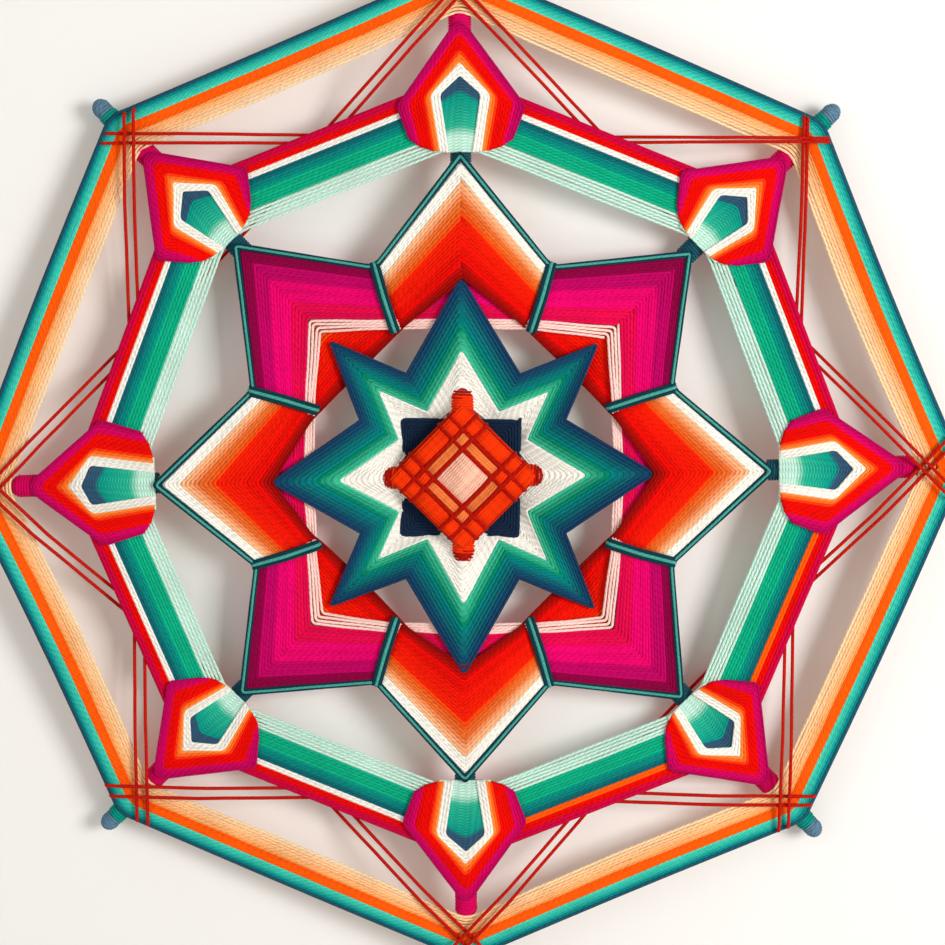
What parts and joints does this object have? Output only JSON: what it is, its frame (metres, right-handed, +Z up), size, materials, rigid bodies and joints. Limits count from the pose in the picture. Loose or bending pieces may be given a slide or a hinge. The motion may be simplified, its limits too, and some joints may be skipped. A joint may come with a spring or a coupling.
{
  "type": "ojo de dios",
  "caption": "Round eight-armed yarn mandala: coloured yarn woven as eyes, star, frames and rings on crossed wooden dowels, hung flat on a wall as an ornament.",
  "frame": {"origin": "on the wall plane, straight behind the hub where the sticks cross", "axes": "+Z up along the upright arm, +X to the viewer's right, -Y out of the front, +Y to the wall"},
  "size_m": [0.3564, 0.0218, 0.3551],
  "materials": {
    "wood": "bare wood dowel",
    "pink_yarn": "spun yarn",
    "peach_yarn": "spun yarn",
    "orange_yarn": "spun yarn",
    "navy_yarn": "spun yarn",
    "rose_yarn": "spun yarn",
    "hot_pink_yarn": "spun yarn",
    "purple_yarn": "spun yarn",
    "maroon_yarn": "spun yarn",
    "dark_teal_yarn": "spun yarn",
    "crimson_yarn": "spun yarn",
    "red_yarn": "spun yarn",
    "white_yarn": "spun yarn",
    "teal_yarn": "spun yarn",
    "green_yarn": "spun yarn",
    "mint_yarn": "spun yarn",
    "magenta_yarn": "spun yarn",
    "dark_red_yarn": "spun yarn",
    "slate_yarn": "spun yarn"
  },
  "bodies": {
    "root": {"stick_east_west": "wood", "stick_north_south": "wood", "stick_rising_diagonal": "wood", "stick_falling_diagonal": "wood", "centre_eye_pink": "pink_yarn", "centre_eye_peach": "peach_yarn", "centre_eye_orange": "orange_yarn", "navy_eye": "navy_yarn", "square_pink": "pink_yarn", "square_rose": "rose_yarn", "square_hot_pink": "hot_pink_yarn", "square_purple": "purple_yarn", "square_maroon": "maroon_yarn", "square_teal": "dark_teal_yarn", "diamond_crimson": "crimson_yarn", "diamond_red": "red_yarn", "diamond_orange": "orange_yarn", "diamond_peach": "peach_yarn", "diamond_white": "white_yarn", "diamond_teal": "teal_yarn", "star_white": "white_yarn", "star_green": "green_yarn", "star_teal": "teal_yarn", "star_navy": "navy_yarn", "ring_mint": "mint_yarn", "ring_green": "green_yarn", "ring_teal": "teal_yarn", "ring_white": "white_yarn", "ring_red": "red_yarn", "ring_magenta": "magenta_yarn", "band_peach": "peach_yarn", "band_orange": "orange_yarn", "band_mint": "mint_yarn", "band_navy": "navy_yarn", "square_lacing": "dark_red_yarn", "diamond_lacing": "dark_red_yarn", "arrowhead_east": "magenta_yarn", "crossing_wrap_east": "dark_teal_yarn", "tip_wrap_east": "slate_yarn", "arrowhead_north_east": "magenta_yarn", "crossing_wrap_north_east": "dark_teal_yarn", "tip_wrap_north_east": "slate_yarn", "arrowhead_north": "magenta_yarn", "crossing_wrap_north": "dark_teal_yarn", "tip_wrap_north": "slate_yarn", "arrowhead_north_west": "magenta_yarn", "crossing_wrap_north_west": "dark_teal_yarn", "tip_wrap_north_west": "slate_yarn", "arrowhead_west": "magenta_yarn", "crossing_wrap_west": "dark_teal_yarn", "tip_wrap_west": "slate_yarn", "arrowhead_south_west": "magenta_yarn", "crossing_wrap_south_west": "dark_teal_yarn", "tip_wrap_south_west": "slate_yarn", "arrowhead_south": "magenta_yarn", "crossing_wrap_south": "dark_teal_yarn", "tip_wrap_south": "slate_yarn", "arrowhead_south_east": "magenta_yarn", "crossing_wrap_south_east": "dark_teal_yarn", "tip_wrap_south_east": "slate_yarn"}
  },
  "joints": []
}
